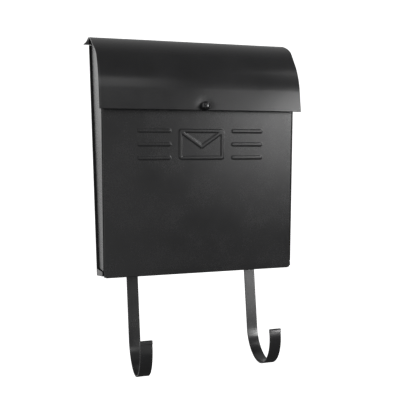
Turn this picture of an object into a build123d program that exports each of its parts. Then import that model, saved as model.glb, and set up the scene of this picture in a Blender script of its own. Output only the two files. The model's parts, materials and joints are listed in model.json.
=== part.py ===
from build123d import *
from math import asin, atan2, cos, degrees, hypot, radians, sin
import os

# A sheet-metal mailbox that hangs on a wall, with a hinged curved lid and two hooks for newspapers.
# All lengths are in millimetres, with +Z up, X to the right and -Y away from the wall. A piece is
# drawn with its heights measured from the lower edge of the front panel, and is then lowered so that
# the origin is the centre of the four wall holes, on the plane of the wall.

# Driving sizes.
BOX_WIDTH = 280.0
BOX_DEPTH_AT_BOTTOM = 52.0
FRONT_LEAN = 10.4
FRONT_HEIGHT = 240.0
BACK_HEIGHT = 340.5
SHEET = 1.0
BACK_SHEET = 1.2
STRIP = 2.0
FOLD_GAP = 0.1

# Wall holes and the height of their centre, which becomes the origin.
ORIGIN_HEIGHT = 175.0
WALL_HOLE_SPACING_X = 180.0
WALL_HOLE_SPACING_Z = 200.0
WALL_HOLE_RADIUS = 2.75

# Back panel: its folded side rims stand proud of the box and reach up to the lid's ears.
RIM_OVERHANG = 3.4
RIM_FOLD = 3.5
RIM_TOP = 345.2
RIM_INNER_X = 139.6
RIM_NOTCH_HEIGHT = 342.6
RIM_RELIEF_RADIUS = 1.45

# Side panels, flat outside the returns of the front panel, with a flange on the back panel.
SIDE_BEND = 2.0
REAR_FLANGE = 10.0
REAR_FLANGE_TOP = 338.5
SIDE_FRONT_INSET = 1.4
SIDE_TOP_REAR_GAP = 2.6

# Front panel.
FRONT_BEND = 2.5
FRONT_RETURN = 10.0
FRONT_TOP_HEM = 6.0
FRONT_BOTTOM_HEM = 1.3

# Raised pictogram on the front panel: an envelope between two sets of plain ribs.
EMBOSS_HEIGHT = 181.0
EMBOSS_RISE = 0.9
STROKE = 4.4
ENVELOPE_WIDTH = 66.0
ENVELOPE_HEIGHT = 42.0
ENVELOPE_CORNER = 4.0
FLAP_DEPTH = 22.0
RIB_INNER_X = 47.0
RIB_OUTER_X = 89.0
RIB_COUNT = 3

# Bottom panel, a shallow pan. Its side lips stand outside the sides, which end a seam above them, and
# spread towards the rear to end against the back panel's rims.
PAN_UNDERSIDE = 3.0
PAN_BEND = 1.0
PAN_SIDE_LIP_REAR = 10.5
PAN_SIDE_LIP_FRONT = 6.0
PAN_LIP_STANDOFF = 0.2
PAN_LIP_SPREAD = 2.0
PAN_LIP_REAR_GAP = 2.7
PAN_SEAM = 1.0
PAN_REAR_LIP = 12.0
PAN_FRONT_LIP = 9.0
PAN_LIP_HALF_WIDTH = 128.0
PAN_LIP_FRONT_GAP = 2.7
DRAIN_RADIUS = 2.5
DRAIN_X = 110.0
DRAIN_Y = (-14.0, -42.0)

# Lid.
LID_FRONT = 110.0
LID_LOWER_EDGE = 224.0
LID_TOP = 346.5
LID_RADIUS = 92.0
LID_HALF_WIDTH = 144.5
EAR_HALF_WIDTH = 148.0
EAR_START = 76.0
EAR_BLEND = 22.0
EAR_FLARE = 3.5
EAR_FLARE_LENGTH = 20.0
EAR_REAR_GAP = 1.9
EAR_TAB_INNER_X = 139.2
LID_HEM = 11.0
LID_REST_GAP = 0.4

# Hinge: knuckles of the back panel and the lid take turns along one rod.
ROD_RADIUS = 1.5
ROD_CLEARANCE = 0.05
ROD_END = 137.6
BACK_KNUCKLES = (60.0, 109.5)
LID_MIDDLE_KNUCKLE = 59.5
LID_OUTER_KNUCKLES = (110.0, 136.0)
LID_REAR_CUT = 6.2
CAP_INNER_FACE = 136.3
CAP_LENGTH = 2.2
CAP_RADIUS = 2.6
CAP_EDGE = 0.9
CAP_FIT = 0.01

# Knob and its screw.
KNOB_HEIGHT = 229.3
KNOB_RADIUS = 6.3
KNOB_BASE_RADIUS = 5.2
KNOB_BASE_EDGE = 0.8
KNOB_NECK_RADIUS = 4.2
KNOB_NECK_LENGTH = 3.4
KNOB_HEAD_LENGTH = 6.2
KNOB_EDGE = 1.4
SCREW_RADIUS = 2.0
SCREW_FIT = 0.02
SCREW_HOLE_RADIUS = 2.2
SCREW_REACH = 7.0
SCREW_HEAD_RADIUS = 3.5
SCREW_HEAD_HEIGHT = 2.4
DRIVE_WIDTH = 0.9
DRIVE_LENGTH = 4.2
DRIVE_DEPTH = 1.3
WASHER_RADIUS = 4.0
WASHER_THICKNESS = 0.8

# Newspaper hooks.
HOOK_X = 92.0
HOOK_WIDTH = 17.0
HOOK_TOP = 46.0
HOOK_RADIUS = 45.0
HOOK_LOWEST = -137.0
HOOK_TURN = 188.0
HOOK_TIP_FOLD = 3.2
HOOK_SLOT_MARGIN = 0.6
HOOK_RIVET_HEIGHTS = (22.0, 38.0)

# Rivets, set flush with the wall face and domed on the inside.
RIVET_FIT = 0.05
RIVET_SINK_DEPTH = 0.8
SEAM_RIVET = {"shank": 1.6, "head": 3.0, "rise": 1.2, "sink": 2.4}
HOOK_RIVET = {"shank": 2.0, "head": 3.6, "rise": 1.5, "sink": 2.9}
SIDE_RIVET_X = 133.5
SIDE_RIVET_HEIGHTS = (40.0, 175.0, 310.0)
BOTTOM_RIVET_X = (-50.0, 0.0, 50.0)
BOTTOM_RIVET_HEIGHT = 10.0

# Sizes worked out from the ones above.
HALF_WIDTH = BOX_WIDTH / 2
SIDE_FACE = HALF_WIDTH - SHEET
LEAN = radians(FRONT_LEAN)
OVERCUT = 1.0
FOLD_RADIUS = (SHEET + FOLD_GAP) / 2
BACK_FOLD_RADIUS = (BACK_SHEET + FOLD_GAP) / 2
BACK_FRONT_FACE = -BACK_SHEET
KNUCKLE_BORE = ROD_RADIUS + ROD_CLEARANCE
BACK_CURL_RADIUS = KNUCKLE_BORE + BACK_SHEET / 2
LID_CURL_RADIUS = KNUCKLE_BORE + SHEET / 2
LID_CENTRE_Y = LID_RADIUS - LID_FRONT
LID_CENTRE_HEIGHT = LID_TOP - LID_RADIUS
HINGE_Y = -(KNUCKLE_BORE + BACK_SHEET)
HINGE_HEIGHT = LID_TOP - KNUCKLE_BORE - SHEET

# The front panel's own directions: across, into the box, and up the slope.
INWARD = (0, cos(LEAN), sin(LEAN))
UPSLOPE = (0, -sin(LEAN), cos(LEAN))
OUTWARD = (0, -cos(LEAN), -sin(LEAN))
FRONT_CORNER = (0, -BOX_DEPTH_AT_BOTTOM, 0)
FRONT_FACE = Plane(origin=FRONT_CORNER, x_dir=(1, 0, 0), z_dir=OUTWARD)
FRONT_ACROSS = Plane(origin=FRONT_CORNER, x_dir=(1, 0, 0), z_dir=UPSLOPE)
FRONT_PROFILE = Plane(origin=FRONT_CORNER, x_dir=INWARD, z_dir=(1, 0, 0))


def sheet_section(start, heading, steps, gauge):
    """Section of a bent sheet, walked along its middle line from start.

    A step is a straight length, or a pair of middle radius and turn in degrees, left turns positive.
    """
    here = Vector(*start)
    sides = {gauge / 2: [], -gauge / 2: []}
    for step in steps:
        ahead = Vector(1, 0).rotate(Axis.Z, heading)
        left = Vector(0, 1).rotate(Axis.Z, heading)
        if isinstance(step, tuple):
            radius, turn = step
            reach = radius if turn > 0 else -radius
            centre = here + left * reach
            for offset, edges in sides.items():
                arm = left * (offset - reach)
                points = [centre + arm.rotate(Axis.Z, turn * part) for part in (0, 0.5, 1)]
                edges.append(ThreePointArc(*points))
            here = centre - (left * reach).rotate(Axis.Z, turn)
            heading += turn
        else:
            for offset, edges in sides.items():
                edges.append(Line(here + left * offset, here + left * offset + ahead * step))
            here = here + ahead * step
    one, other = sides.values()
    ends = [Line(one[0] @ 0, other[0] @ 0), Line(one[-1] @ 1, other[-1] @ 1)]
    return make_face(one + other + ends)


def across(section, low_x, high_x):
    """A section drawn in Y and Z, extruded from low_x to high_x."""
    return Pos(low_x, 0, 0) * extrude(Plane.YZ * section, high_x - low_x)


def upright(section, low, high):
    """A section drawn in X and Y, extruded between two heights."""
    return Pos(0, 0, low) * extrude(section, high - low)


def block(low, high):
    """A box between two opposite corners."""
    size = [b - a for a, b in zip(low, high)]
    centre = [(a + b) / 2 for a, b in zip(low, high)]
    return Pos(*centre) * Box(*size)


def turned(outline, x, height):
    """A round piece about a line along Y. Its outline is in radius and Y."""
    return Pos(x, 0, height) * revolve(make_face(outline), Axis.Y)


def bar(x, height, radius, low_y, high_y):
    """A round bar along Y."""
    return Pos(x, (low_y + high_y) / 2, height) * Rot(90, 0, 0) * Cylinder(radius, high_y - low_y)


def mirrored(piece):
    """The same piece on the other side of the box."""
    return mirror(piece, Plane.YZ)


def both_sides(piece):
    """A piece and its mirror image."""
    return [piece, mirrored(piece)]


def front_inner_y(height, depth):
    """Y of a plane that lies depth inside the front panel's outer face, at a height."""
    return -BOX_DEPTH_AT_BOTTOM + (depth - height * sin(LEAN)) / cos(LEAN)


def rivet(style, grip, x, height):
    """A rivet whose tail fills a countersink at the wall face and whose domed head is inside."""
    head_y = -grip
    outline = Polyline(
        (0, head_y - style["rise"]), (0, 0), (style["sink"], 0),
        (style["shank"], -RIVET_SINK_DEPTH), (style["shank"], head_y), (style["head"], head_y),
    )
    dome = Spline(
        (style["head"], head_y), (0, head_y - style["rise"]),
        tangents=((0, -1), (-1, 0)),
    )
    return turned(outline.edges() + dome.edges(), x, height)


def rivet_hole(style, grip, x, height):
    """The hole that a rivet fills, through everything that it holds."""
    shank = style["shank"] + RIVET_FIT
    sink = style["sink"] + RIVET_FIT
    outline = Polyline(
        (0, OVERCUT), (sink, OVERCUT), (sink, 0), (shank, -RIVET_SINK_DEPTH),
        (shank, -grip - OVERCUT), (0, -grip - OVERCUT), (0, OVERCUT),
    )
    return turned(outline.edges(), x, height)


SEAM_GRIP = BACK_SHEET + SHEET
HOOK_GRIP = BACK_SHEET + STRIP


def side_rivet_places():
    return [(side * SIDE_RIVET_X, height) for side in (-1, 1) for height in SIDE_RIVET_HEIGHTS]


def bottom_rivet_places():
    return [(x, BOTTOM_RIVET_HEIGHT) for x in BOTTOM_RIVET_X]


def hook_rivet_places():
    return [(side * HOOK_X, height) for side in (-1, 1) for height in HOOK_RIVET_HEIGHTS]


def seam_holes(places):
    return [rivet_hole(SEAM_RIVET, SEAM_GRIP, x, height) for x, height in places]


def hook_holes():
    return [rivet_hole(HOOK_RIVET, HOOK_GRIP, x, height) for x, height in hook_rivet_places()]


def back_panel():
    """Flat back with folded side rims, wall holes and its share of the hinge knuckles."""
    rim_x = HALF_WIDTH + RIM_OVERHANG
    fold_centre = rim_x - BACK_FOLD_RADIUS - BACK_SHEET / 2
    fold_run = RIM_FOLD - BACK_FOLD_RADIUS - BACK_SHEET / 2
    folded_y = -BACK_SHEET / 2 - 2 * BACK_FOLD_RADIUS
    fold = (BACK_FOLD_RADIUS, -180)
    steps = [fold_run, fold, 2 * fold_centre, fold, fold_run]
    section = sheet_section((-fold_centre + fold_run, folded_y), 180, steps, BACK_SHEET)
    panel = upright(section, PAN_UNDERSIDE, RIM_TOP)
    far = 2 * HALF_WIDTH
    panel -= block((-RIM_INNER_X, -BOX_DEPTH_AT_BOTTOM, BACK_HEIGHT), (RIM_INNER_X, OVERCUT, LID_TOP))
    # The rims' upper ends are relieved behind the hinge line, where the lid's ears turn.
    relief = block((-far, HINGE_Y, HINGE_HEIGHT), (far, OVERCUT, LID_TOP))
    relief -= Pos(0, HINGE_Y, HINGE_HEIGHT) * Rot(0, 90, 0) * Cylinder(RIM_RELIEF_RADIUS, 3 * far)
    relief += block((-far, BACK_FRONT_FACE, RIM_NOTCH_HEIGHT), (far, OVERCUT, LID_TOP))
    panel -= relief
    holes = seam_holes(side_rivet_places() + bottom_rivet_places()) + hook_holes()
    for x in (-WALL_HOLE_SPACING_X / 2, WALL_HOLE_SPACING_X / 2):
        for z in (-WALL_HOLE_SPACING_Z / 2, WALL_HOLE_SPACING_Z / 2):
            holes.append(bar(x, ORIGIN_HEIGHT + z, WALL_HOLE_RADIUS, -SEAM_GRIP, OVERCUT))
    panel -= holes

    rise = HINGE_HEIGHT - BACK_HEIGHT + OVERCUT
    start = (-BACK_SHEET / 2, BACK_HEIGHT - OVERCUT)
    curl = sheet_section(start, 90, [rise, (BACK_CURL_RADIUS, 270)], BACK_SHEET)
    return panel + both_sides(across(curl, *BACK_KNUCKLES))


def pan_lip_top(y):
    """Height of the upper edge of the bottom panel's side lips: they are lower towards the front."""
    fall = (PAN_SIDE_LIP_REAR - PAN_SIDE_LIP_FRONT) / BOX_DEPTH_AT_BOTTOM
    return PAN_UNDERSIDE + PAN_SIDE_LIP_REAR + fall * y


def side_outline():
    """Outline of a side panel's flat, in Y and Z: sloped in front, round under the lid."""
    rear = BACK_FRONT_FACE - SHEET / 2 - SIDE_BEND
    rest = LID_RADIUS - SHEET - LID_REST_GAP
    centre = Vector(LID_CENTRE_Y, LID_CENTRE_HEIGHT)
    front_low = pan_lip_top(-BOX_DEPTH_AT_BOTTOM) + PAN_SEAM
    toe = Vector(front_inner_y(front_low, SIDE_FRONT_INSET), front_low)
    heel = Vector(rear, pan_lip_top(rear) + PAN_SEAM)
    # The sloped edge meets the round top where its distance from the lid's centre is the rest radius.
    slope = Vector(-sin(LEAN), cos(LEAN))
    along = (centre - toe).dot(slope)
    away = (toe + slope * along - centre).length
    corner = toe + slope * (along + (rest**2 - away**2) ** 0.5)
    corner_angle = degrees(asin((centre.X - corner.X) / rest))
    middle = centre + Vector(0, rest).rotate(Axis.Z, corner_angle / 2)
    top = centre + Vector(0, rest)
    lines = [
        Line(heel, toe),
        Line(toe, corner),
        ThreePointArc(corner, middle, top),
        Polyline(
            top, (-SIDE_TOP_REAR_GAP, top.Y), (-SIDE_TOP_REAR_GAP, REAR_FLANGE_TOP + SHEET),
            (rear, REAR_FLANGE_TOP + SHEET), heel,
        ),
    ]
    return make_face([edge for line in lines for edge in line.edges()])


def left_side_panel():
    """Flat side with a rear flange on the back panel. The front panel's return is welded to its inside."""
    panel = across(side_outline(), -HALF_WIDTH, -SIDE_FACE)
    middle = -HALF_WIDTH + SHEET / 2
    flange_y = BACK_FRONT_FACE - SHEET / 2
    run = REAR_FLANGE - SIDE_BEND - SHEET / 2
    bend = [OVERCUT, (SIDE_BEND, -90), run]
    rear = sheet_section((middle, flange_y - SIDE_BEND - OVERCUT), 90, bend, SHEET)
    panel += upright(rear, pan_lip_top(0) + PAN_SEAM, REAR_FLANGE_TOP)
    return panel - seam_holes(side_rivet_places())


def stroke(start, end, width):
    """A line of the pictogram, with round ends."""
    length = hypot(end[0] - start[0], end[1] - start[1])
    angle = degrees(atan2(end[1] - start[1], end[0] - start[0]))
    middle = Pos((start[0] + end[0]) / 2, (start[1] + end[1]) / 2)
    return middle * Rot(0, 0, angle) * SlotCenterToCenter(length, width)


def pictogram(width):
    """The envelope and its ribs, drawn on the front face with lines of the given width."""
    outer_x = ENVELOPE_WIDTH + width - STROKE
    outer_y = ENVELOPE_HEIGHT + width - STROKE
    corner = ENVELOPE_CORNER + (width - STROKE) / 2
    frame = RectangleRounded(outer_x, outer_y, corner)
    frame -= RectangleRounded(outer_x - 2 * width, outer_y - 2 * width, corner - width / 2)
    half_x = (ENVELOPE_WIDTH - STROKE) / 2
    top = (ENVELOPE_HEIGHT - STROKE) / 2
    inset = ENVELOPE_CORNER / 2
    lines = [((side * (half_x - inset), top - inset), (0, top - FLAP_DEPTH)) for side in (-1, 1)]
    for index in range(RIB_COUNT):
        height = top - index * 2 * top / (RIB_COUNT - 1)
        lines += [((side * RIB_INNER_X, height), (side * RIB_OUTER_X, height)) for side in (-1, 1)]
    for start, end in lines:
        frame += stroke(start, end, width)
    return frame


def front_panel():
    """Sloped front with rounded upright corners, hems top and bottom and the raised pictogram."""
    low = FOLD_RADIUS + SHEET / 2
    high = FRONT_HEIGHT / cos(LEAN)
    return_low = (PAN_UNDERSIDE + SHEET + FOLD_GAP) / cos(LEAN) + low
    edge = -SIDE_FACE + SHEET / 2
    flat = -2 * (edge + FRONT_BEND)
    bend = (FRONT_BEND, 90)
    run = FRONT_RETURN - SHEET / 2 - FRONT_BEND
    corner_depth = SHEET / 2 + FRONT_BEND
    short = sheet_section((edge, corner_depth), -90, [bend, flat, bend], SHEET)
    full = sheet_section((edge, corner_depth + run), -90, [run, bend, flat, bend, run], SHEET)
    panel = extrude(FRONT_ACROSS * Pos(0, 0, low) * short, return_low - low)
    panel += extrude(FRONT_ACROSS * Pos(0, 0, return_low) * full, high - return_low)

    bottom_hem = [OVERCUT, (FOLD_RADIUS, 180), FRONT_BOTTOM_HEM]
    hem = sheet_section((SHEET / 2, low + OVERCUT), -90, bottom_hem, SHEET)
    hem_half = flat / 2
    panel += Pos(-hem_half, 0, 0) * extrude(FRONT_PROFILE * hem, 2 * hem_half)
    top_hem = [OVERCUT, (FOLD_RADIUS, -180), FRONT_TOP_HEM]
    hem = sheet_section((SHEET / 2, high - OVERCUT), 90, top_hem, SHEET)
    hem_half = SIDE_FACE - FRONT_RETURN
    panel += Pos(-hem_half, 0, 0) * extrude(FRONT_PROFILE * hem, 2 * hem_half)

    centre = Pos(0, EMBOSS_HEIGHT / cos(LEAN))
    raised = FRONT_FACE * Pos(0, 0, -SHEET / 2) * centre * pictogram(STROKE)
    hollow = FRONT_FACE * Pos(0, 0, -SHEET - OVERCUT) * centre * pictogram(STROKE - 2 * SHEET)
    panel += extrude(raised, EMBOSS_RISE + SHEET / 2)
    panel -= extrude(hollow, EMBOSS_RISE + OVERCUT)
    return panel


def bottom_panel():
    """Pan whose side lips stand outside the side panels, with drain holes and hook slots."""
    middle = PAN_UNDERSIDE + SHEET / 2
    centre_height = middle + PAN_BEND
    rear_middle = BACK_FRONT_FACE - SHEET / 2
    front_centre = front_inner_y(centre_height, SHEET + SHEET / 2 + PAN_BEND)
    floor = rear_middle - PAN_BEND - front_centre
    rear_run = PAN_UNDERSIDE + PAN_REAR_LIP - centre_height
    front_run = PAN_FRONT_LIP - SHEET / 2 - PAN_BEND
    steps = [rear_run, (PAN_BEND, -90), floor, (PAN_BEND, FRONT_LEAN - 90), front_run]
    profile = sheet_section((rear_middle, centre_height + rear_run), -90, steps, SHEET)
    pan = across(profile, -PAN_LIP_HALF_WIDTH, PAN_LIP_HALF_WIDTH)

    front_end = -BOX_DEPTH_AT_BOTTOM + PAN_LIP_FRONT_GAP
    rear_end = -PAN_LIP_REAR_GAP
    front_x = HALF_WIDTH + PAN_LIP_STANDOFF
    rear_x = front_x + PAN_LIP_SPREAD
    floor_plan = Polyline(
        (0, front_end), (front_x, front_end), (rear_x, rear_end), (SIDE_FACE, rear_end),
        (SIDE_FACE, BACK_FRONT_FACE), (0, BACK_FRONT_FACE), close=True,
    )
    lip_plan = Polyline(
        (front_x, front_end), (front_x + SHEET, front_end), (rear_x + SHEET, rear_end),
        (rear_x, rear_end), close=True,
    )
    above = Polyline(
        (OVERCUT, pan_lip_top(OVERCUT)), (-BOX_DEPTH_AT_BOTTOM, pan_lip_top(-BOX_DEPTH_AT_BOTTOM)),
        (-BOX_DEPTH_AT_BOTTOM, FRONT_HEIGHT), (OVERCUT, FRONT_HEIGHT), close=True,
    )
    lip = upright(make_face(lip_plan.edges()), PAN_UNDERSIDE, PAN_UNDERSIDE + PAN_SIDE_LIP_REAR)
    lip -= across(make_face(above.edges()), 0, BOX_WIDTH)
    lower_edge = lip.edges().filter_by(lambda edge: edge.center().Z < PAN_UNDERSIDE + OVERCUT / 2)
    outer_edge = lower_edge.sort_by(Axis.X)[-1]
    lip = fillet(outer_edge, SHEET / 2)
    pan += both_sides(lip)
    pan += both_sides(upright(make_face(floor_plan.edges()), PAN_UNDERSIDE, PAN_UNDERSIDE + SHEET))

    slot_half = HOOK_WIDTH / 2 + HOOK_SLOT_MARGIN
    slot_depth = BACK_FRONT_FACE - STRIP - HOOK_SLOT_MARGIN
    slot_top = PAN_UNDERSIDE + PAN_REAR_LIP + OVERCUT
    slot = block((HOOK_X - slot_half, slot_depth, 0), (HOOK_X + slot_half, 0, slot_top))
    pan -= both_sides(slot)
    for y in DRAIN_Y:
        hole = Pos(DRAIN_X, y, PAN_UNDERSIDE) * Cylinder(DRAIN_RADIUS, 4 * SHEET)
        pan -= both_sides(hole)
    return pan - seam_holes(bottom_rivet_places())


def lid_plan():
    """The lid's outline seen from above: it widens to ears whose rear corners flare out at the wall."""
    front = -LID_FRONT - OVERCUT
    flare_start = -EAR_REAR_GAP - EAR_FLARE_LENGTH
    flare = Spline(
        (EAR_HALF_WIDTH + EAR_FLARE, -EAR_REAR_GAP), (EAR_HALF_WIDTH, flare_start),
        tangents=((-0.4, -1), (0, -1)),
    )
    narrowing = Spline(
        (EAR_HALF_WIDTH, -EAR_START), (LID_HALF_WIDTH, -EAR_START - EAR_BLEND),
        tangents=((0, -1), (0, -1)),
    )
    edges = [
        *Line((EAR_HALF_WIDTH, flare_start), (EAR_HALF_WIDTH, -EAR_START)).edges(),
        *flare.edges(),
        *narrowing.edges(),
        *Polyline(
            (LID_HALF_WIDTH, -EAR_START - EAR_BLEND), (LID_HALF_WIDTH, front), (0, front),
            (0, -LID_REAR_CUT), (EAR_TAB_INNER_X, -LID_REAR_CUT), (EAR_TAB_INNER_X, -EAR_REAR_GAP),
            (EAR_HALF_WIDTH + EAR_FLARE, -EAR_REAR_GAP),
        ).edges(),
    ]
    half = make_face(edges)
    return half + mirror(half, Plane.YZ)


def lid():
    """Curved lid with a folded lower edge and its share of the hinge knuckles."""
    middle_y = -LID_FRONT + SHEET / 2
    hem_y = middle_y + 2 * FOLD_RADIUS
    hem_centre = LID_LOWER_EDGE + FOLD_RADIUS + SHEET / 2
    skirt = LID_CENTRE_HEIGHT - hem_centre
    steps = [LID_HEM, (FOLD_RADIUS, -180), skirt, (LID_RADIUS - SHEET / 2, -90), -LID_CENTRE_Y]
    section = sheet_section((hem_y, hem_centre + LID_HEM), -90, steps, SHEET)
    widest = EAR_HALF_WIDTH + EAR_FLARE
    shell = across(section, -widest, widest)
    plan = Pos(0, 0, LID_LOWER_EDGE - OVERCUT) * lid_plan()
    shell &= extrude(plan, LID_TOP - LID_LOWER_EDGE + 2 * OVERCUT)

    steps = [HINGE_Y + LID_REAR_CUT + OVERCUT, (LID_CURL_RADIUS, -270)]
    curl = sheet_section((-LID_REAR_CUT - OVERCUT, LID_TOP - SHEET / 2), 0, steps, SHEET)
    shell += across(curl, -LID_MIDDLE_KNUCKLE, LID_MIDDLE_KNUCKLE)
    shell += both_sides(across(curl, *LID_OUTER_KNUCKLES))
    return shell - bar(0, KNOB_HEIGHT, SCREW_HOLE_RADIUS, -LID_FRONT - OVERCUT, hem_y + SHEET)


def hinge_rod():
    """Plain wire that all the knuckles turn on."""
    return Pos(0, HINGE_Y, HINGE_HEIGHT) * Rot(0, 90, 0) * Cylinder(ROD_RADIUS, 2 * ROD_END)


def hinge_rod_caps():
    """Two push-on caps that keep the rod in its knuckles."""
    end = CAP_INNER_FACE + CAP_LENGTH
    rim = JernArc((CAP_RADIUS, end - CAP_EDGE), (0, 1), CAP_EDGE, 90)
    bore = ROD_RADIUS + CAP_FIT
    outline = Polyline(
        rim @ 1, (0, end), (0, ROD_END + CAP_FIT), (bore, ROD_END + CAP_FIT),
        (bore, CAP_INNER_FACE), (CAP_RADIUS, CAP_INNER_FACE), rim @ 0,
    )
    cap = revolve(make_face(outline.edges() + rim.edges()), Axis.Y)
    cap = Pos(0, HINGE_Y, HINGE_HEIGHT) * Rot(0, 0, -90) * cap
    return Compound(children=both_sides(cap))


def lid_knob():
    """Round knob on a flared neck, with a tapped hole for its screw."""
    base = -LID_FRONT
    neck = base - KNOB_NECK_LENGTH
    face = neck - KNOB_HEAD_LENGTH
    foot = base - KNOB_BASE_EDGE
    tapped = SCREW_RADIUS + SCREW_FIT
    tapped_end = base - SCREW_REACH - SCREW_FIT
    flare = Spline((KNOB_BASE_RADIUS, foot), (KNOB_NECK_RADIUS, neck), tangents=((-1, -0.4), (0, -1)))
    crown = Spline((KNOB_RADIUS, neck - KNOB_EDGE), (0, face), tangents=((0, -1), (-1, 0)))
    bore = Polyline(
        (0, face), (0, tapped_end), (tapped, tapped_end), (tapped, base), (KNOB_BASE_RADIUS, base),
        (KNOB_BASE_RADIUS, foot),
    )
    rim = Polyline(
        (KNOB_NECK_RADIUS, neck), (KNOB_RADIUS - KNOB_EDGE / 2, neck), (KNOB_RADIUS, neck - KNOB_EDGE)
    )
    return turned(bore.edges() + flare.edges() + rim.edges() + crown.edges(), 0, KNOB_HEIGHT)


def washer_faces():
    """Y of the washer's two faces, behind the lid's folded edge."""
    seat = -LID_FRONT + 2 * SHEET + FOLD_GAP
    return seat, seat + WASHER_THICKNESS


def knob_washer():
    """Flat washer under the screw's head."""
    low, high = washer_faces()
    washer = bar(0, KNOB_HEIGHT, WASHER_RADIUS, low, high)
    return washer - bar(0, KNOB_HEIGHT, SCREW_HOLE_RADIUS, low - OVERCUT, high + OVERCUT)


def knob_screw():
    """Pan-head screw with a cross recess, driven from inside the lid."""
    seat = washer_faces()[1]
    top = seat + SCREW_HEAD_HEIGHT
    head = bar(0, KNOB_HEIGHT, SCREW_HEAD_RADIUS, seat, top)
    head = fillet(head.edges().filter_by(GeomType.CIRCLE).sort_by(Axis.Y)[-1], SCREW_HEAD_HEIGHT / 3)
    screw = head + bar(0, KNOB_HEIGHT, SCREW_RADIUS, -LID_FRONT - SCREW_REACH, seat)
    for size in ((DRIVE_LENGTH, DRIVE_WIDTH), (DRIVE_WIDTH, DRIVE_LENGTH)):
        screw -= Pos(0, top, KNOB_HEIGHT) * Box(size[0], 2 * DRIVE_DEPTH, size[1])
    return screw


def left_hook():
    """J-shaped strip with its tip folded over, riveted inside the back panel."""
    middle = BACK_FRONT_FACE - STRIP / 2
    centre_height = HOOK_LOWEST + HOOK_RADIUS + STRIP / 2
    fold = (STRIP + FOLD_GAP) / 2
    steps = [HOOK_TOP - centre_height, (HOOK_RADIUS, -HOOK_TURN), (fold, 180), HOOK_TIP_FOLD]
    section = sheet_section((middle, HOOK_TOP), -90, steps, STRIP)
    hook = across(section, -HOOK_X - HOOK_WIDTH / 2, -HOOK_X + HOOK_WIDTH / 2)
    return hook - hook_holes()


def rivets(style, grip, places):
    """A group of the same rivet."""
    return Compound(children=[rivet(style, grip, x, height) for x, height in places])


def main():
    side = left_side_panel()
    hook = left_hook()
    pieces = {
        "back_panel": back_panel(),
        "left_side_panel": side,
        "right_side_panel": mirrored(side),
        "front_panel": front_panel(),
        "bottom_panel": bottom_panel(),
        "lid": lid(),
        "hinge_rod": hinge_rod(),
        "hinge_rod_caps": hinge_rod_caps(),
        "lid_knob": lid_knob(),
        "knob_screw": knob_screw(),
        "knob_washer": knob_washer(),
        "left_hook": hook,
        "right_hook": mirrored(hook),
        "side_flange_rivets": rivets(SEAM_RIVET, SEAM_GRIP, side_rivet_places()),
        "bottom_flange_rivets": rivets(SEAM_RIVET, SEAM_GRIP, bottom_rivet_places()),
        "hook_rivets": rivets(HOOK_RIVET, HOOK_GRIP, hook_rivet_places()),
    }
    os.makedirs("parts", exist_ok=True)
    for name, piece in pieces.items():
        export_step(Pos(0, 0, -ORIGIN_HEIGHT) * piece, f"parts/{name}.step")


main()
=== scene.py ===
import json
import math
import random

import bmesh
import bpy
from mathutils import Matrix, Vector


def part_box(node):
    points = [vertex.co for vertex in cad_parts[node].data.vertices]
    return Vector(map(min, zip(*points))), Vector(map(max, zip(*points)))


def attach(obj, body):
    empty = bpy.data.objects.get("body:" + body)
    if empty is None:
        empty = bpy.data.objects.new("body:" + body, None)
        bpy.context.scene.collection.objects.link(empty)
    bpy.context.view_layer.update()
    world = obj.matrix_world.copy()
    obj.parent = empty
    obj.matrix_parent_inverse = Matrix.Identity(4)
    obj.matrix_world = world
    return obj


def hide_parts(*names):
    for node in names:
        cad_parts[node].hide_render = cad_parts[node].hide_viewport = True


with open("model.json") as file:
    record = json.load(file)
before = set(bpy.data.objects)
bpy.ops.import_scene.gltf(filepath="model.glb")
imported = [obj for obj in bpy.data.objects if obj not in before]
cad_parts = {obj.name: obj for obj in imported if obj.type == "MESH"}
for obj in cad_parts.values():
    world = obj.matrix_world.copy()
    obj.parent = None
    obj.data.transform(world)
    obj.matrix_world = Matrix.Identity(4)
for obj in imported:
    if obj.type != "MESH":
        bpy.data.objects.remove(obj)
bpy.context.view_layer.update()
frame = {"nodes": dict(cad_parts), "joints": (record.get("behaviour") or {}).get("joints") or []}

# A wall mailbox in black powder-coated sheet. Lengths are worked out in millimetres and written to the
# meshes in metres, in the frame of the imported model: +Z up, -Y away from the wall.
MM = 0.001
random.seed(11)

# Gauges and folds of the sheet-metal pieces. The box front leans out towards its top.
SHEET = 1.0
STRIP = 2.0
FOLD_GAP = 0.1
HEM_RADIUS = (SHEET + FOLD_GAP) / 2
LEAN = math.radians(10.4)

# Rounding of the cut edges: its width by kind of piece, and the angle that counts as an edge.
SHEET_EDGE = 0.28
STRIP_EDGE = 0.45
PACKED_EDGE = 0.25
WASHER_EDGE = 0.15
EDGE_ANGLE = math.radians(50.0)
WELD_DISTANCE = 0.002
LARGE_FACE_WEIGHT = 100

# Spacing of mesh points, and the depth of a pressed sheet's unevenness.
ARC_STEP = math.radians(4.0)
LEAST_ARC_POINTS = 6
LONG_STEP = 6.0
UNEVENNESS = 0.16
TOUCHING = 1e-6


def corners(node):
    """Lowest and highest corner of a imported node, in millimetres."""
    return [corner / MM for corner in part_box(node)]


LID_LOW, LID_HIGH = corners("lid")
FRONT_LOW, FRONT_HIGH = corners("front_panel")
KNOB_LOW, KNOB_HIGH = corners("lid_knob")
HINGE = Vector(frame["joints"][0]["pos_m"]) / MM


# ---------------------------------------------------------------------------------------------
# Sheet metal
# ---------------------------------------------------------------------------------------------

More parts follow.
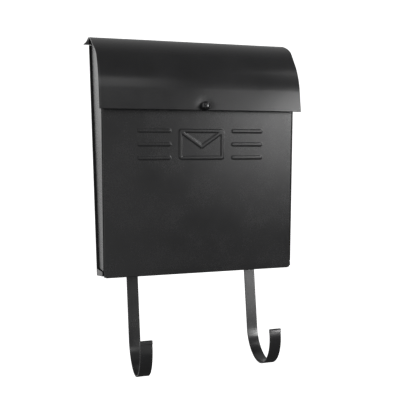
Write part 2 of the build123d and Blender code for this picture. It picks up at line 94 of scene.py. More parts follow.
def walk(start, heading, steps, arc_step=ARC_STEP, long_step=LONG_STEP):
    """Points and left-hand normals along the middle line of a bent sheet, with the index of each bend.

    A step is a straight length, or a pair of middle radius and turn in degrees, left turns positive.
    """
    here = Vector(start)
    angle = math.radians(heading)
    points = [here.copy()]
    normals = [Vector((-math.sin(angle), math.cos(angle)))]
    marks = [0]
    for step in steps:
        if isinstance(step, tuple):
            radius, turn = step[0], math.radians(step[1])
            side = 1 if turn > 0 else -1
            centre = here + Vector((-math.sin(angle), math.cos(angle))) * radius * side
            count = max(LEAST_ARC_POINTS, math.ceil(abs(turn) / arc_step))
            for index in range(1, count + 1):
                now = angle + turn * index / count
                normal = Vector((-math.sin(now), math.cos(now)))
                points.append(centre - normal * radius * side)
                normals.append(normal)
            angle += turn
            here = points[-1].copy()
        else:
            ahead = Vector((math.cos(angle), math.sin(angle)))
            count = max(1, math.ceil(step / long_step))
            for index in range(1, count + 1):
                points.append(here + ahead * step * index / count)
                normals.append(Vector((-math.sin(angle), math.cos(angle))))
            here = points[-1].copy()
        marks.append(len(points) - 1)
    return points, normals, marks


def spread(marks, step):
    """Rising stations through all the marks, no further apart than step."""
    stations = [marks[0]]
    for low, high in zip(marks, marks[1:]):
        count = max(1, math.ceil((high - low) / step - TOUCHING))
        stations += [low + (high - low) * index / count for index in range(1, count + 1)]
    return stations


def graded(start, stops):
    """Positions from start through the stops, each an end and the spacing up to it."""
    places = [start]
    for end, step in stops:
        places += spread([places[-1], end], step)[1:]
    return places


def bent_sheet(name, rows, columns, middle, normal, gauge, kept=None):
    """A closed sheet of even gauge. middle and normal give each grid point; kept says which cells exist."""
    mesh = bmesh.new()
    skins = ({}, {})
    kept = kept or (lambda row, column: True)

    def corner(side, row, column):
        if (row, column) not in skins[side]:
            offset = gauge / 2 if side == 0 else -gauge / 2
            place = middle(row, column) + normal(row, column) * offset
            skins[side][row, column] = mesh.verts.new(place * MM)
        return skins[side][row, column]

    cells = {(r, c) for r in range(rows - 1) for c in range(columns - 1) if kept(r, c)}
    for r, c in sorted(cells):
        ring = [(r, c), (r, c + 1), (r + 1, c + 1), (r + 1, c)]
        mesh.faces.new([corner(0, *p) for p in ring])
        mesh.faces.new([corner(1, *p) for p in reversed(ring)])
        neighbours = [(r - 1, c), (r, c + 1), (r + 1, c), (r, c - 1)]
        for index, neighbour in enumerate(neighbours):
            if neighbour not in cells:
                a, b = ring[index], ring[(index + 1) % 4]
                mesh.faces.new([corner(0, *b), corner(0, *a), corner(1, *a), corner(1, *b)])
    return finished(mesh, name)


def finished(mesh, name):
    """Turns a bmesh into a smooth-shaded object with outward faces."""
    bmesh.ops.recalc_face_normals(mesh, faces=mesh.faces)
    data = bpy.data.meshes.new(name)
    mesh.to_mesh(data)
    mesh.free()
    data.shade_smooth()
    piece = bpy.data.objects.new(name, data)
    bpy.context.scene.collection.objects.link(piece)
    return piece


def soften(piece, width, segments=2, weld=False):
    """Rounds the cut edges of a piece, as paint does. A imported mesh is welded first."""
    if weld:
        join = piece.modifiers.new("weld", "WELD")
        join.merge_threshold = WELD_DISTANCE * MM
    bevel = piece.modifiers.new("soft_edges", "BEVEL")
    bevel.width = width * MM
    bevel.segments = segments
    bevel.limit_method = "ANGLE"
    bevel.angle_limit = EDGE_ANGLE
    even = piece.modifiers.new("even_normals", "WEIGHTED_NORMAL")
    even.keep_sharp = True
    even.weight = LARGE_FACE_WEIGHT
    return piece


def smoothstep(value):
    value = min(1.0, max(0.0, value))
    return value * value * (3 - 2 * value)


def waves(count, longest, shortest, height):
    """A gentle, repeatable unevenness of a pressed sheet, as a function of two lengths."""
    terms = []
    for _ in range(count):
        length = random.uniform(shortest, longest)
        angle = random.uniform(0, math.pi)
        terms.append((math.cos(angle) / length, math.sin(angle) / length, random.uniform(0, 1)))
    scale = height / count

    def at(a, b):
        return scale * sum(math.sin(math.tau * (a * u + b * v + phase)) for u, v, phase in terms)
    return at


# ---------------------------------------------------------------------------------------------
# Lid
# ---------------------------------------------------------------------------------------------

LID_RADIUS = 92.0
LID_HEM = 11.0
LID_REAR_CUT = 6.2
LID_HALF_WIDTH = 144.5
EAR_HALF_WIDTH = 148.0
EAR_START = 76.0
EAR_BLEND = 22.0
EAR_REAR_GAP = 1.9
EAR_TIP_THINNING = 0.1
EAR_FLARE_LENGTH = 20.0
EAR_TAB_INNER_X = 139.2
KNUCKLE_MARKS = (59.5, 110.0, 136.0)
CURL_RADIUS = 2.05
EAR_FLARE_POWER = 1.8
LID_ARC_STEP = math.radians(3.0)
LID_ROW_STEP = 2.0
LID_COLUMN_STEP = 4.5
DIMPLE_COLUMN_STEP = 1.6
DENT_ROW_LENGTH = 4.5
FADE_ROWS_BEHIND = 6.0
FADE_ROWS_AT_HEM = 4.0

# The knob's screw pulls the sheet in around the knob, but not right under its foot.
DIMPLE_REACH = 20.0
DIMPLE_DEPTH = 0.42
DIMPLE_START = 5.5
DIMPLE_FADE = 6.0
DIMPLE_FLOOR_RADIUS = 3.6
DIMPLE_FLOOR_RISE = 1.9
DIMPLE_ROWS_ABOVE_HEM = 3.0


def lid_half_width(y):
    """Half width of the lid at a distance from the wall: ears along the hinge that flare at the wall."""
    narrowing = smoothstep((-y - EAR_START) / EAR_BLEND)
    flare = max(0.0, 1.0 - (-y - EAR_REAR_GAP) / EAR_FLARE_LENGTH)
    wide = EAR_HALF_WIDTH + (LID_HIGH.x - EAR_HALF_WIDTH) * min(1.0, flare) ** EAR_FLARE_POWER
    return wide + (LID_HALF_WIDTH - EAR_HALF_WIDTH) * narrowing


def make_lid():
    """One sheet from the hem up the skirt, over the curve and into the rolled knuckles at the rear."""
    front = LID_LOW.y + SHEET / 2
    centre_z = LID_HIGH.z - LID_RADIUS
    centre_y = LID_LOW.y + LID_RADIUS
    hem_y = front + 2 * HEM_RADIUS
    hem_z = LID_LOW.z + HEM_RADIUS + SHEET / 2
    steps = [
        LID_HEM, (HEM_RADIUS, -180), centre_z - hem_z, (LID_RADIUS - SHEET / 2, -90),
        -LID_REAR_CUT - centre_y, HINGE.y + LID_REAR_CUT, (CURL_RADIUS, -270),
    ]
    points, normals, marks = walk((hem_y, hem_z + LID_HEM), -90, steps, LID_ARC_STEP, LID_ROW_STEP)
    _, hem_end, skirt_foot, _, curve_end, cut, over_rod, _ = marks
    tab_end = over_rod + 1
    inner = KNUCKLE_MARKS[2]
    outward = [*KNUCKLE_MARKS, EAR_TAB_INNER_X, LID_HIGH.x]
    stations = spread([-x for x in reversed(outward)] + [-DIMPLE_REACH], LID_COLUMN_STEP)
    stations += spread([-DIMPLE_REACH, DIMPLE_REACH], DIMPLE_COLUMN_STEP)[1:]
    stations += spread([DIMPLE_REACH] + outward, LID_COLUMN_STEP)[1:]
    dent = waves(5, 260.0, 90.0, UNEVENNESS)
    knob_z = (KNOB_LOW.z + KNOB_HIGH.z) / 2

    def across(row, column):
        x = stations[column]
        if abs(x) <= inner:
            return x
        edge = lid_half_width(points[row].x)
        part = (abs(x) - inner) / (LID_HIGH.x - inner)
        return math.copysign(inner + (edge - inner) * part, x)

    def sink(row, column):
        """Depth of the sheet's unevenness, with the dimple around the knob."""
        if row >= curve_end or row <= hem_end:
            return 0.0
        x = across(row, column)
        fade = smoothstep((curve_end - row) / FADE_ROWS_BEHIND)
        fade *= smoothstep((row - hem_end) / FADE_ROWS_AT_HEM)
        distance = math.hypot(x, points[row].y - knob_z)
        dimple = math.exp(-(max(0.0, distance - DIMPLE_START) / DIMPLE_FADE) ** 2)
        dimple *= smoothstep((distance - DIMPLE_FLOOR_RADIUS) / DIMPLE_FLOOR_RISE)
        dimple *= smoothstep((row - skirt_foot) / DIMPLE_ROWS_ABOVE_HEM)
        return fade * (UNEVENNESS + dent(x, row * DENT_ROW_LENGTH)) + DIMPLE_DEPTH * dimple

    def at_ear_tip(row, column):
        """Behind the hinge, where the ears are a little thinner, so that they swing clear of the rims."""
        return row >= over_rod and abs(stations[column]) >= EAR_TAB_INNER_X

    def middle(row, column):
        point = points[row] - normals[row] * sink(row, column)
        if not at_ear_tip(row, column):
            return Vector((across(row, column), point.x, point.y))
        height = points[cut].y + EAR_TIP_THINNING / 2
        if row == tab_end:
            return Vector((stations[column], -EAR_REAR_GAP, height))
        return Vector((across(row, column), point.x, height))

    def normal(row, column):
        if at_ear_tip(row, column):
            return Vector((0, normals[cut].x, normals[cut].y)) * (1 - EAR_TIP_THINNING / SHEET)
        return Vector((0, normals[row].x, normals[row].y))

    def kept(row, column):
        if row < cut:
            return True
        x = abs(stations[column] + stations[column + 1]) / 2
        if x > EAR_TAB_INNER_X:
            return row < tab_end
        return x < KNUCKLE_MARKS[0] or KNUCKLE_MARKS[1] < x < KNUCKLE_MARKS[2]

    lid = bent_sheet("lid_shell", len(points), len(stations), middle, normal, SHEET, kept)
    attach(lid, "lid")
    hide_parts("lid")
    return soften(lid, SHEET_EDGE)


# ---------------------------------------------------------------------------------------------
# Front panel with its raised pictogram
# ---------------------------------------------------------------------------------------------

FRONT_HEIGHT = 240.0
FRONT_FOOT_BEHIND_LID = 58.0
FRONT_CORNER_DROP = 0.17
FRONT_BEND = 2.5
FRONT_RETURN = 10.0
TOP_HEM = 6.0
BOTTOM_HEM = 1.3
LIP_CLEARANCE = 4.17
TOP_HEM_INSET = 10.0
EMBOSS_RISE = 0.9
EMBOSS_ABOVE_EDGE = 181.0
STROKE = 4.4
SHOULDER = 0.75
FINE_STEP = 0.73
COARSE_STEP = 5.0
LEVEL_MARGIN = 25.0
ENVELOPE_WIDTH = 66.0
ENVELOPE_HEIGHT = 42.0
ENVELOPE_CORNER = 4.0
FLAP_DEPTH = 22.0
RIB_INNER_X = 47.0
RIB_OUTER_X = 89.0


def to_segment(px, py, ax, ay, bx, by):
    """Distance from a point to a line between two points."""
    dx, dy = bx - ax, by - ay
    part = ((px - ax) * dx + (py - ay) * dy) / (dx * dx + dy * dy)
    part = min(1.0, max(0.0, part))
    return math.hypot(px - ax - dx * part, py - ay - dy * part)


def to_pictogram(x, y):
    """Distance from a point to the middle lines of the envelope and ribs, centred on the origin."""
    half_x = (ENVELOPE_WIDTH - STROKE) / 2
    half_y = (ENVELOPE_HEIGHT - STROKE) / 2
    corner = ENVELOPE_CORNER - STROKE / 2
    out_x = abs(x) - half_x + corner
    out_y = abs(y) - half_y + corner
    outside = math.hypot(max(out_x, 0.0), max(out_y, 0.0))
    outline_gap = abs(outside + min(max(out_x, out_y), 0.0) - corner)
    inset = ENVELOPE_CORNER / 2
    gaps = [outline_gap, to_segment(abs(x), y, half_x - inset, half_y - inset, 0.0, half_y - FLAP_DEPTH)]
    for height in (half_y, 0.0, -half_y):
        gaps.append(to_segment(abs(x), y, RIB_INNER_X, height, RIB_OUTER_X, height))
    return min(gaps)


def make_front():
    """A sheet with returns at its sides, and hems at its lower and upper edge."""
    edge = FRONT_HIGH.x
    origin = Vector((0, LID_LOW.y + FRONT_FOOT_BEHIND_LID, FRONT_LOW.z - FRONT_CORNER_DROP))
    inward = Vector((0, math.cos(LEAN), math.sin(LEAN)))
    upslope = Vector((0, -math.sin(LEAN), math.cos(LEAN)))
    side = Vector((1, 0, 0))
    low = HEM_RADIUS + SHEET / 2
    high = FRONT_HEIGHT / math.cos(LEAN)
    run = FRONT_RETURN - SHEET / 2 - FRONT_BEND
    flat = 2 * (edge - SHEET / 2 - FRONT_BEND)

    # Across: return, bend, flat, bend, return. Upward: bottom hem, flat, top hem.
    steps = [run, (FRONT_BEND, 90), flat, (FRONT_BEND, 90), run]
    u_points, u_normals, u_marks = walk((-edge + SHEET / 2, FRONT_BEND + SHEET / 2 + run), -90, steps)
    # The flat part of the walk is sampled again, closely where the pictogram is.
    first, last = u_marks[2], u_marks[3]
    half_flat = flat / 2
    fine = RIB_OUTER_X + STROKE
    hem_half = edge - TOP_HEM_INSET
    rib_end, rib_start = RIB_OUTER_X - STROKE, RIB_INNER_X + STROKE
    columns = graded(-half_flat, (
        (-hem_half, COARSE_STEP), (-fine, COARSE_STEP), (-rib_end, FINE_STEP), (-rib_start, COARSE_STEP),
        (rib_start, FINE_STEP), (rib_end, COARSE_STEP), (fine, FINE_STEP), (hem_half, COARSE_STEP),
        (half_flat, COARSE_STEP),
    ))
    u_points = u_points[:first] + [Vector((x, SHEET / 2)) for x in columns] + u_points[last + 1:]
    u_normals = u_normals[:first] + [Vector((0, 1))] * len(columns) + u_normals[last + 1:]
    flat_u = (first, first + len(columns) - 1)

    steps = [BOTTOM_HEM, (HEM_RADIUS, -180), high - low, (HEM_RADIUS, -180), TOP_HEM]
    start = (SHEET / 2 + 2 * HEM_RADIUS, low + BOTTOM_HEM)
    v_points, v_normals, v_marks = walk(start, -90, steps)
    centre_v = EMBOSS_ABOVE_EDGE / math.cos(LEAN)
    half_fine = ENVELOPE_HEIGHT / 2 + STROKE
    lip_v = low + LIP_CLEARANCE
    rows = graded(low, (
        (lip_v, COARSE_STEP), (centre_v - half_fine, COARSE_STEP), (centre_v + half_fine, FINE_STEP),
        (high, COARSE_STEP),
    ))
    first_v, last_v = v_marks[2], v_marks[3]
    v_points = v_points[:first_v] + [Vector((SHEET / 2, v)) for v in rows] + v_points[last_v + 1:]
    v_normals = v_normals[:first_v] + [Vector((-1, 0))] * len(rows) + v_normals[last_v + 1:]
    flat_v = (first_v, first_v + len(rows) - 1)
    dent = waves(6, 240.0, 80.0, UNEVENNESS)

    def raised(x, v):
        gap = to_pictogram(x, v - centre_v)
        return EMBOSS_RISE * smoothstep((STROKE / 2 + SHOULDER / 2 - gap) / SHOULDER)

    def in_flat(row, column):
        """Whether a grid point is in the flat part by height, and whether it is by width."""
        return flat_v[0] <= row <= flat_v[1], flat_u[0] <= column <= flat_u[1]

    def middle(row, column):
        level, plain = in_flat(row, column)
        if level and not plain:
            x, depth = u_points[column]
            v = v_points[row].y
        else:
            x = u_points[column].x
            depth, v = v_points[row]
        if level and plain:
            margin = min(half_flat - abs(x), v - low, high - v)
            depth += (UNEVENNESS + dent(x, v)) * smoothstep(margin / LEVEL_MARGIN) - raised(x, v)
        return origin + side * x + inward * depth + upslope * v

    def normal(row, column):
        level, plain = in_flat(row, column)
        if level and not plain:
            return side * u_normals[column].x + inward * u_normals[column].y
        return -inward * v_normals[row].x - upslope * v_normals[row].y

    def kept(row, column):
        level = flat_v[0] <= row < flat_v[1]
        plain = flat_u[0] <= column < flat_u[1]
        x = (u_points[column].x + u_points[column + 1].x) / 2
        if level and plain:
            return True
        if not level and not plain:
            return False
        if plain:
            return row < flat_v[0] or abs(x) < hem_half
        returned = column < u_marks[1] or column >= len(u_points) - 1 - u_marks[1]
        return not returned or v_points[row].y >= lip_v - TOUCHING

    front = bent_sheet("front_sheet", len(v_points), len(u_points), middle, normal, SHEET, kept)
    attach(front, "box")
    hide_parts("front_panel")
    return soften(front, SHEET_EDGE)


# ---------------------------------------------------------------------------------------------
# Hooks
# ---------------------------------------------------------------------------------------------

HOOK_RADIUS = 45.0
HOOK_TURN = 188.0
TIP_FOLD = 3.2
HOOK_ARC_STEP = math.radians(3.5)
HOOK_ROW_STEP = 5.0
HOOK_COLUMN_STEP = 2.2
HOOK_DISH = 0.12
HOOK_STRAIGHT_ROWS = 16
HOOK_FREE_ROWS = 8.0
HOOK_INSET = 0.1
HOOK_WANDER = 0.5
WANDER_ROW_LENGTH = 4.0


def make_hook(node):
    """A strip bent to a J by hand: its bend is slightly dished and it wanders a little below the box."""
    low, high = corners(node)
    middle_y = high.y - STRIP / 2
    centre_z = low.z + HOOK_RADIUS + STRIP / 2
    fold = (STRIP + FOLD_GAP) / 2
    steps = [high.z - centre_z, (HOOK_RADIUS, -HOOK_TURN), (fold, 180), TIP_FOLD]
    points, normals, marks = walk((middle_y, high.z), -90, steps, HOOK_ARC_STEP, HOOK_ROW_STEP)
    stations = spread([low.x, high.x], HOOK_COLUMN_STEP)
    centre_x = (low.x + high.x) / 2
    half = (high.x - low.x) / 2
    wander = waves(3, 160.0, 60.0, 0.2)

    def middle(row, column):
        part = (stations[column] - centre_x) / half
        dish = HOOK_DISH * (1 - part * part) if row > marks[1] else 0.0
        free = smoothstep((row - HOOK_STRAIGHT_ROWS) / HOOK_FREE_ROWS)
        drift = HOOK_INSET - HOOK_WANDER * wander(row * WANDER_ROW_LENGTH, 0.0)
        point = points[row] - normals[row] * (dish + free * drift)
        return Vector((stations[column], point.x, point.y))

    def normal(row, column):
        return Vector((0, normals[row].x, normals[row].y))

    hook = bent_sheet(node + "_strip", len(points), len(stations), middle, normal, STRIP)
    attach(hook, "box")
    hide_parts(node)
    return soften(hook, STRIP_EDGE, segments=3)


# ---------------------------------------------------------------------------------------------
# Knob
# ---------------------------------------------------------------------------------------------

KNOB_SIDES = 64
KNOB_BORE = 2.1
KNOB_FOOT_RADIUS = 5.2
KNOB_FOOT_LENGTH = 0.8
KNOB_FOOT_EDGE = 0.25
KNOB_NECK_RADIUS = 4.2
KNOB_NECK_LENGTH = 3.4
KNOB_NECK_ROOT = 0.4
KNOB_NECK_OVERRUN = 0.3
KNOB_NECK_POWER = 2.2
KNOB_RIM = 1.4
KNOB_DOME_SPREAD = 0.8
KNOB_DOME_RISE = 1.15


def lathe(name, profile, centre):
    """A closed turned piece about a line along Y. The profile is radius and Y, from axis to axis."""
    mesh = bmesh.new()
    rings = []
    for radius, y in profile:
        if radius < TOUCHING:
            rings.append([mesh.verts.new(Vector((centre.x, y, centre.z)) * MM)])
            continue
        ring = []
        for index in range(KNOB_SIDES):
            angle = math.tau * index / KNOB_SIDES
            place = Vector((centre.x + radius * math.cos(angle), y, centre.z + radius * math.sin(angle)))
            ring.append(mesh.verts.new(place * MM))
        rings.append(ring)
    for one, two in zip(rings, rings[1:]):
        for index in range(KNOB_SIDES):
            after = (index + 1) % KNOB_SIDES
            if len(one) == 1:
                mesh.faces.new([one[0], two[index], two[after]])
            elif len(two) == 1:
                mesh.faces.new([one[index], one[after], two[0]])
            else:
                mesh.faces.new([one[index], one[after], two[after], two[index]])
    return finished(mesh, name)


def make_knob():
    """A turned knob: a foot on the lid, a neck that narrows from it, and a domed head."""
    radius = KNOB_HIGH.x
    face, base = KNOB_LOW.y, KNOB_HIGH.y
    neck = base - KNOB_NECK_LENGTH
    foot = base - KNOB_FOOT_LENGTH
    profile = [
        (0.0, base), (KNOB_BORE, base), (KNOB_FOOT_RADIUS - KNOB_FOOT_EDGE, base),
        (KNOB_FOOT_RADIUS, base - KNOB_FOOT_EDGE),
    ]
    # The neck: a trumpet that narrows from the foot to the head.
    bend_points = 8
    for index in range(bend_points + 1):
        part = index / bend_points
        wide = KNOB_NECK_RADIUS + (KNOB_FOOT_RADIUS - KNOB_NECK_RADIUS) * (1 - part) ** KNOB_NECK_POWER
        profile.append((wide, foot + (neck + KNOB_NECK_OVERRUN - foot) * part))
    profile.append((KNOB_NECK_RADIUS + KNOB_NECK_ROOT, neck))
    # The head: a rounded rim that runs into a low dome.
    widest = neck - KNOB_RIM
    for index in range(bend_points + 1):
        angle = math.radians(-90 + 90 * index / bend_points)
        place = (radius - KNOB_RIM + KNOB_RIM * math.cos(angle), widest - KNOB_RIM * math.sin(angle))
        profile.append(place)
    rise = abs(face - widest)
    dome_points = 20
    for index in range(1, dome_points + 1):
        angle = math.radians(90 * index / dome_points)
        wide = radius * math.cos(angle) ** KNOB_DOME_SPREAD if index < dome_points else 0.0
        profile.append((wide, widest - rise * math.sin(angle) ** KNOB_DOME_RISE))
    knob = lathe("knob_head", profile, (KNOB_LOW + KNOB_HIGH) / 2)
    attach(knob, "lid")
    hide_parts("lid_knob")
    return knob


# ---------------------------------------------------------------------------------------------
# Materials
# ---------------------------------------------------------------------------------------------

def material(name):
    """A new node material, with its nodes and links."""
    made = bpy.data.materials.new(name)
    made.use_nodes = True
    return made, made.node_tree.nodes, made.node_tree.links


def noise(nodes, links, scale, detail=3.0, stretch=None):
    """Noise in object coordinates, with a scale in cells per metre."""
    where = nodes.new("ShaderNodeTexCoord").outputs["Object"]
    if stretch:
        mapping = nodes.new("ShaderNodeMapping")
        mapping.inputs["Scale"].default_value = stretch
        links.new(where, mapping.inputs["Vector"])
        where = mapping.outputs["Vector"]
    texture = nodes.new("ShaderNodeTexNoise")
    texture.inputs["Scale"].default_value = scale
    texture.inputs["Detail"].default_value = detail
    links.new(where, texture.inputs["Vector"])
    return texture.outputs["Fac"]


def ranged(nodes, links, value, low, high, into=(0.0, 1.0)):
    """Maps a value's range to another, clamped."""
    node = nodes.new("ShaderNodeMapRange")
    node.inputs["From Min"].default_value = low
    node.inputs["From Max"].default_value = high
    node.inputs["To Min"].default_value = into[0]
    node.inputs["To Max"].default_value = into[1]
    links.new(value, node.inputs["Value"])
    return node.outputs["Result"]


def mixed(nodes, links, factor, one, two):
    """A colour between two, by a factor. Either may be a colour or a socket."""
    node = nodes.new("ShaderNodeMix")
    node.data_type = "RGBA"
    links.new(factor, node.inputs["Factor"])
    for socket, value in ((node.inputs[6], one), (node.inputs[7], two)):
        if isinstance(value, bpy.types.NodeSocket):
            links.new(value, socket)
        else:
            socket.default_value = (*value, 1.0)
    return node.outputs[2]


def bumped(nodes, links, shader, layers):
    """Chains bump layers of (height, strength, distance in metres) into the shader's normal."""
    last = None
    for height, strength, distance in layers:
        bump = nodes.new("ShaderNodeBump")
        bump.inputs["Strength"].default_value = strength
        bump.inputs["Distance"].default_value = distance
        links.new(height, bump.inputs["Height"])
        if last:
            links.new(last, bump.inputs["Normal"])
        last = bump.outputs["Normal"]
    links.new(last, shader.inputs["Normal"])


def combined(nodes, links, operation, one, two):
    """Two values combined by a maths operation."""
    node = nodes.new("ShaderNodeMath")
    node.operation = operation
    links.new(one, node.inputs[0])
    links.new(two, node.inputs[1])
    return node.outputs[0]


def painted(name, base, worn, roughness, grain, grain_depth, specular=0.5, wear=0.5, coat=0.0):
    """Black paint on steel: fine texture, cloudy sheen and faint dust.

    With wear, edges are rubbed lighter. That needs a finely divided mesh.
    """
    made, nodes, links = material(name)
    shader = nodes["Principled BSDF"]
    shader.inputs["Specular IOR Level"].default_value = specular
    shader.inputs["Coat Weight"].default_value = coat
    shader.inputs["Coat Roughness"].default_value = 0.16
    clouds = noise(nodes, links, 22.0, 4.0)
    speckle = noise(nodes, links, 1500.0, 2.0)
    fine = noise(nodes, links, grain, 2.0)
    darker = tuple(value * 0.82 for value in base)
    tone = mixed(nodes, links, ranged(nodes, links, clouds, 0.3, 0.7), darker, base)
    flecked = mixed(nodes, links, ranged(nodes, links, speckle, 0.62, 0.78, (0.0, 0.35)), tone, worn)
    if wear > 0:
        edges = ranged(nodes, links, nodes.new("ShaderNodeNewGeometry").outputs["Pointiness"], 0.53, 0.62)
        rubbed = ranged(nodes, links, noise(nodes, links, 140.0, 4.0), 0.35, 0.7, (0.15, wear))
        patchy = combined(nodes, links, "MULTIPLY", edges, rubbed)
        flecked = mixed(nodes, links, patchy, flecked, worn)
    links.new(flecked, shader.inputs["Base Color"])
    sheen = ranged(nodes, links, clouds, 0.3, 0.7, (roughness - 0.03, roughness + 0.03))
    grit = ranged(nodes, links, fine, 0.3, 0.7, (-0.03, 0.03))
    links.new(combined(nodes, links, "ADD", sheen, grit), shader.inputs["Roughness"])
    bumped(nodes, links, shader, [(fine, 0.5, grain_depth), (speckle, 0.25, grain_depth * 0.5)])
    return made


def bare(name, base, stained, roughness, stretch):
    """Drawn or plated steel with fine lines and faint stains."""
    made, nodes, links = material(name)
    shader = nodes["Principled BSDF"]
    shader.inputs["Metallic"].default_value = 1.0
    lines = noise(nodes, links, 700.0, 3.0, stretch)
    stains = noise(nodes, links, 90.0, 5.0)
    links.new(mixed(nodes, links, ranged(nodes, links, stains, 0.45, 0.75), base, stained),
              shader.inputs["Base Color"])
    links.new(ranged(nodes, links, lines, 0.3, 0.7, (roughness - 0.08, roughness + 0.1)),
              shader.inputs["Roughness"])
    bumped(nodes, links, shader, [(lines, 0.35, 0.00003)])
    return made


def put_on(piece, made):
    """Gives a piece one material in place of any it has."""
    piece.data.materials.clear()
    piece.data.materials.append(made)


# ---------------------------------------------------------------------------------------------
# Assembly
# ---------------------------------------------------------------------------------------------

BLACK = (0.030, 0.030, 0.031)
RUBBED = (0.075, 0.075, 0.076)
powder = painted("powder_coat", BLACK, RUBBED, 0.26, 900.0, 0.00006)
panel_powder = painted("panel_powder_coat", BLACK, RUBBED, 0.26, 900.0, 0.00006, wear=0.0)
lid_powder = painted("lid_powder_coat", BLACK, RUBBED, 0.21, 900.0, 0.00006)
strip_paint = painted("strip_paint", BLACK, (0.085, 0.085, 0.086), 0.24, 800.0, 0.00006, 0.75, 0.8)
rivet_paint = painted(
    "rivet_paint", (0.028, 0.028, 0.029), (0.09, 0.09, 0.09), 0.36, 1100.0, 0.00004, wear=0.9
)
cap_paint = painted("cap_paint", (0.022, 0.022, 0.023), (0.10, 0.10, 0.10), 0.34, 1300.0, 0.00003, wear=0.8)
enamel = painted("knob_enamel", (0.013, 0.013, 0.014), (0.03, 0.03, 0.03), 0.24, 700.0, 0.00003, coat=0.6)
wire = bare("drawn_wire", (0.32, 0.32, 0.33), (0.17, 0.16, 0.15), 0.36, (0.04, 1.0, 1.0))
zinc = bare("zinc_plate", (0.55, 0.55, 0.56), (0.36, 0.36, 0.35), 0.33, (1.0, 1.0, 1.0))

for piece, finish in (
    (make_lid(), lid_powder),
    (make_front(), powder),
    (make_hook("left_hook"), strip_paint),
    (make_hook("right_hook"), strip_paint),
    (make_knob(), enamel),
):
    put_on(piece, finish)

for node, finish, width in (
    ("back_panel", panel_powder, PACKED_EDGE),
    ("left_side_panel", panel_powder, PACKED_EDGE),
    ("right_side_panel", panel_powder, PACKED_EDGE),
    ("bottom_panel", panel_powder, PACKED_EDGE),
    ("side_flange_rivets", rivet_paint, None),
    ("bottom_flange_rivets", rivet_paint, None),
    ("hook_rivets", rivet_paint, None),
    ("hinge_rod", wire, PACKED_EDGE),
    ("hinge_rod_caps", cap_paint, None),
    ("knob_screw", zinc, None),
    ("knob_washer", zinc, WASHER_EDGE),
):
    put_on(frame["nodes"][node], finish)
    if width:
        soften(frame["nodes"][node], width, weld=True)


# ---------------------------------------------------------------------------------------------
# Studio
# ---------------------------------------------------------------------------------------------

FLOOR_Z = -1300.0
BACK_Y = 1500.0
STUDIO_HALF = 4000.0
STUDIO_FRONT = -4500.0
STUDIO_TOP = 3600.0
COVE_RADIUS = 700.0
COVE_ARC_STEP = math.radians(5.0)
STUDIO_STEP = 500.0
LIGHT_DISTANCE = 2000.0
CAMERA_PLACE = Vector((-239.27, -880.03, -133.91))
CAMERA_PAN = 0.285
CAMERA_TILT = -0.074
CAMERA_ROLL = -0.048
CAMERA_SENSOR = 36.0
CAMERA_LENS = 53.575


def make_studio():
    """A pale floor that curves up into a pale wall, far behind the object."""
    straight = STUDIO_TOP - FLOOR_Z - COVE_RADIUS
    steps = [BACK_Y - COVE_RADIUS - STUDIO_FRONT, (COVE_RADIUS, 90), straight]
    points, _, _ = walk((STUDIO_FRONT, FLOOR_Z), 0, steps, COVE_ARC_STEP, STUDIO_STEP)
    mesh = bmesh.new()
    columns = [
        [mesh.verts.new(Vector((x, point.x, point.y)) * MM) for point in points]
        for x in (-STUDIO_HALF, STUDIO_HALF)
    ]
    for index in range(len(points) - 1):
        left, right = (column[index:index + 2] for column in columns)
        mesh.faces.new([left[0], right[0], right[1], left[1]])
    studio = finished(mesh, "studio_floor")
    made, nodes, links = material("studio_white")
    shader = nodes["Principled BSDF"]
    shader.inputs["Roughness"].default_value = 0.9
    shader.inputs["Specular IOR Level"].default_value = 0.1
    shader.inputs["Base Color"].default_value = (0.93, 0.93, 0.93, 1.0)
    shader.inputs["Emission Color"].default_value = (1.0, 1.0, 1.0, 1.0)
    shader.inputs["Emission Strength"].default_value = 0.95
    put_on(studio, made)
    studio.visible_glossy = False
    studio.visible_diffuse = False
    studio.visible_shadow = False


def soft_light(name, azimuth, elevation, spread, radiance):
    """A rectangular soft light that faces the object. Angles are in degrees, as seen from the object.

    Azimuth 0 is straight in front and 90 is to the right. Spread is the width and height it takes up.
    """
    a, e = math.radians(azimuth), math.radians(elevation)
    place = Vector((math.sin(a) * math.cos(e), -math.cos(a) * math.cos(e), math.sin(e))) * LIGHT_DISTANCE
    data = bpy.data.lights.new(name, "AREA")
    data.shape = "RECTANGLE"
    data.size, data.size_y = (2 * LIGHT_DISTANCE * MM * math.tan(math.radians(angle) / 2) for angle in spread)
    data.energy = radiance * math.pi * data.size * data.size_y
    light = bpy.data.objects.new(name, data)
    light.location = place * MM
    light.rotation_euler = (-place).to_track_quat("-Z", "Y").to_euler()
    bpy.context.scene.collection.objects.link(light)


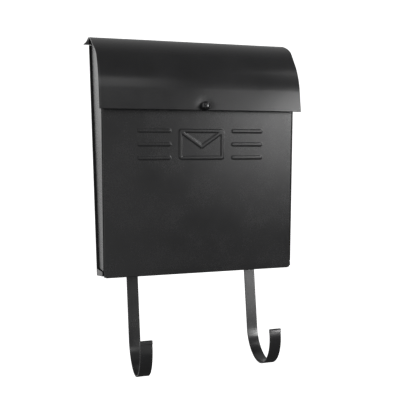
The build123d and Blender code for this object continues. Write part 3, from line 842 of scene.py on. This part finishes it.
def make_camera():
    """The camera stands low and to the left, looks slightly up, and is a little rolled."""
    pan, tilt = CAMERA_PAN, CAMERA_TILT
    forward = Vector((math.sin(pan) * math.cos(tilt), math.cos(pan) * math.cos(tilt), -math.sin(tilt)))
    level = Vector((math.cos(pan), -math.sin(pan), 0.0))
    up = level.cross(forward)
    right = level * math.cos(CAMERA_ROLL) + up * math.sin(CAMERA_ROLL)
    above = up * math.cos(CAMERA_ROLL) - level * math.sin(CAMERA_ROLL)
    data = bpy.data.cameras.new("camera")
    data.sensor_width = CAMERA_SENSOR
    data.lens = CAMERA_LENS
    data.clip_start = 0.01
    camera = bpy.data.objects.new("camera", data)
    turn = Matrix((right, above, -forward)).transposed().to_4x4()
    camera.matrix_world = Matrix.Translation(CAMERA_PLACE * MM) @ turn
    bpy.context.scene.collection.objects.link(camera)
    bpy.context.scene.camera = camera


def make_world():
    """Plain white to the camera. As a light it is dim in front and below, and paler behind the object."""
    world = bpy.data.worlds.new("studio")
    bpy.context.scene.world = world
    world.use_nodes = True
    nodes, links = world.node_tree.nodes, world.node_tree.links
    apart = nodes.new("ShaderNodeSeparateXYZ")
    links.new(nodes.new("ShaderNodeTexCoord").outputs["Generated"], apart.inputs["Vector"])
    behind = ranged(nodes, links, apart.outputs["Y"], -0.1, 0.45, (0.0, 0.6))
    for low, high, into in ((-0.4, -0.1, (0.0, 0.8)), (0.15, 0.3, (1.0, 1.6)), (0.33, 0.52, (1.0, 0.25))):
        share = ranged(nodes, links, apart.outputs["Z"], low, high, into)
        behind = combined(nodes, links, "MULTIPLY", behind, share)
    ambient = ranged(nodes, links, apart.outputs["Z"], -0.4, -0.1, (0.05, 0.105))
    strength = combined(nodes, links, "ADD", behind, ambient)
    background = nodes["Background"]
    background.inputs["Color"].default_value = (1.0, 1.0, 1.0, 1.0)
    seen = nodes.new("ShaderNodeLightPath").outputs["Is Camera Ray"]
    links.new(combined(nodes, links, "MAXIMUM", strength, seen), background.inputs["Strength"])


make_studio()
soft_light("key_core", 33.5, 3, (14, 19), 11.2)
soft_light("key_spread", 30, 1, (28, 30), 1.8)
soft_light("upper_front", -1, 25, (20, 15), 1.25)
soft_light("upper_right", 56, 39, (30, 18), 1.4)
soft_light("left_wall", -76, 15, (50, 80), 0.75)
soft_light("low_left", -18, -20, (50, 36), 0.35)
make_camera()
make_world()
bpy.context.scene.view_settings.view_transform = "Standard"
